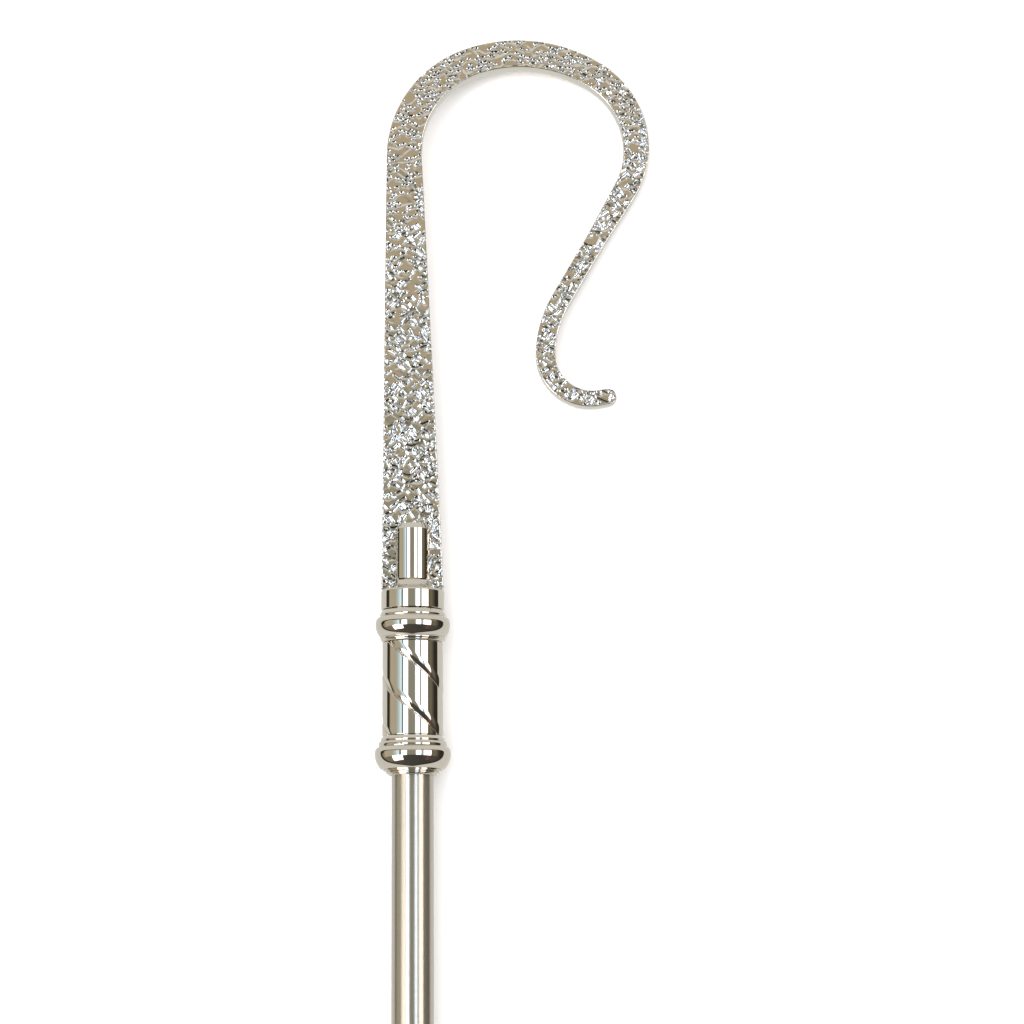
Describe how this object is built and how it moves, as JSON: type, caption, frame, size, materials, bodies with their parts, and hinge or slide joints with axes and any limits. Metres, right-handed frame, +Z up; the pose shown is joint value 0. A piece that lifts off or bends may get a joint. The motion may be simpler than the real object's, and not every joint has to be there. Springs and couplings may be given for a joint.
{
  "type": "bishop crosier",
  "caption": "Bishop's crosier in nickel-plated brass: a flat crook with crumpled relief, turned knops, a spiral-grooved barrel and a plain round staff.",
  "frame": {"origin": "centre of the footprint of the crosier lying down, on the floor", "axes": "+Y along the staff towards the crook, +X to the side where the crook hangs over, +Z up, out of the crook's front face"},
  "size_m": [0.1676, 1.849, 0.0459],
  "materials": {
    "cast_nickel": "polished",
    "polished_nickel": "polished",
    "satin_nickel": "satin"
  },
  "bodies": {
    "root": {"crook": "cast_nickel", "crook_socket": "polished_nickel", "upper_knop_ring": "polished_nickel", "spiral_barrel": "polished_nickel", "lower_knop_ring": "polished_nickel", "staff_tube": "satin_nickel", "foot_ferrule": "polished_nickel"}
  },
  "joints": []
}
